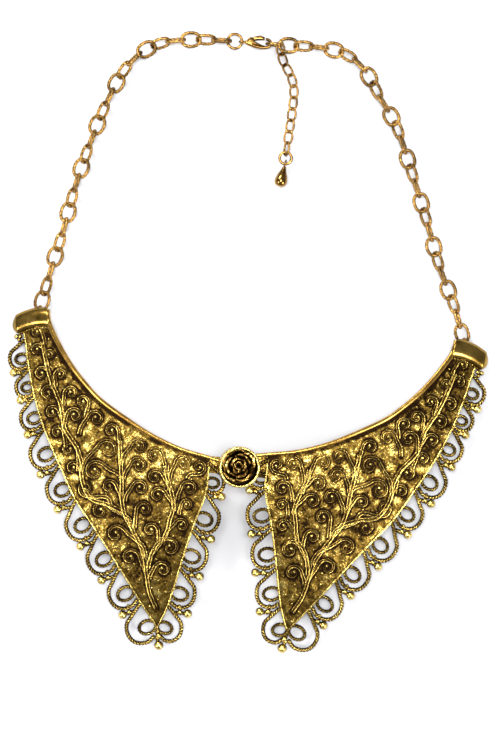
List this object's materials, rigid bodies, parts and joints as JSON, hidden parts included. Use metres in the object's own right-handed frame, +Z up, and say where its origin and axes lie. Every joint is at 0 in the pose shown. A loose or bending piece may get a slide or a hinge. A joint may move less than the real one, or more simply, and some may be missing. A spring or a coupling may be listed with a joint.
{
  "type": "bib necklace",
  "caption": "Antique gold bib necklace: two scrolled collar wings with a pierced lace edge meet at a rose, on cable chains with a lobster clasp and an extender.",
  "frame": {"origin": "on the table, under the middle of the necklace's bounding box", "axes": "+X to the right as seen from above, +Y from the bib's points to the clasp, +Z up from the table"},
  "size_m": [0.1683, 0.2169, 0.0253],
  "materials": {
    "antique_gold": "cast, antique gold plating with dark patina",
    "polished_gold": "polished gold plating"
  },
  "bodies": {
    "necklace": {"left_wing": "antique_gold", "right_wing": "antique_gold", "rosette": "antique_gold", "left_chain": "polished_gold", "right_chain": "polished_gold", "clasp_ring": "polished_gold", "hook_ring": "polished_gold", "clasp_body": "polished_gold", "extender_chain": "polished_gold", "drop_ring": "polished_gold", "drop": "polished_gold"},
    "lever": {"clasp_lever": "polished_gold"}
  },
  "joints": [
    {"name": "lever_pivot", "type": "hinge", "parent": "necklace", "child": "lever", "pos_m": [-0.00759, 0.10626, 0.00351], "axis": [0, 0, -1], "range_deg": [0, 15], "stiffness_Nm_per_rad": 0.004, "springref_deg": -5.73}
  ]
}
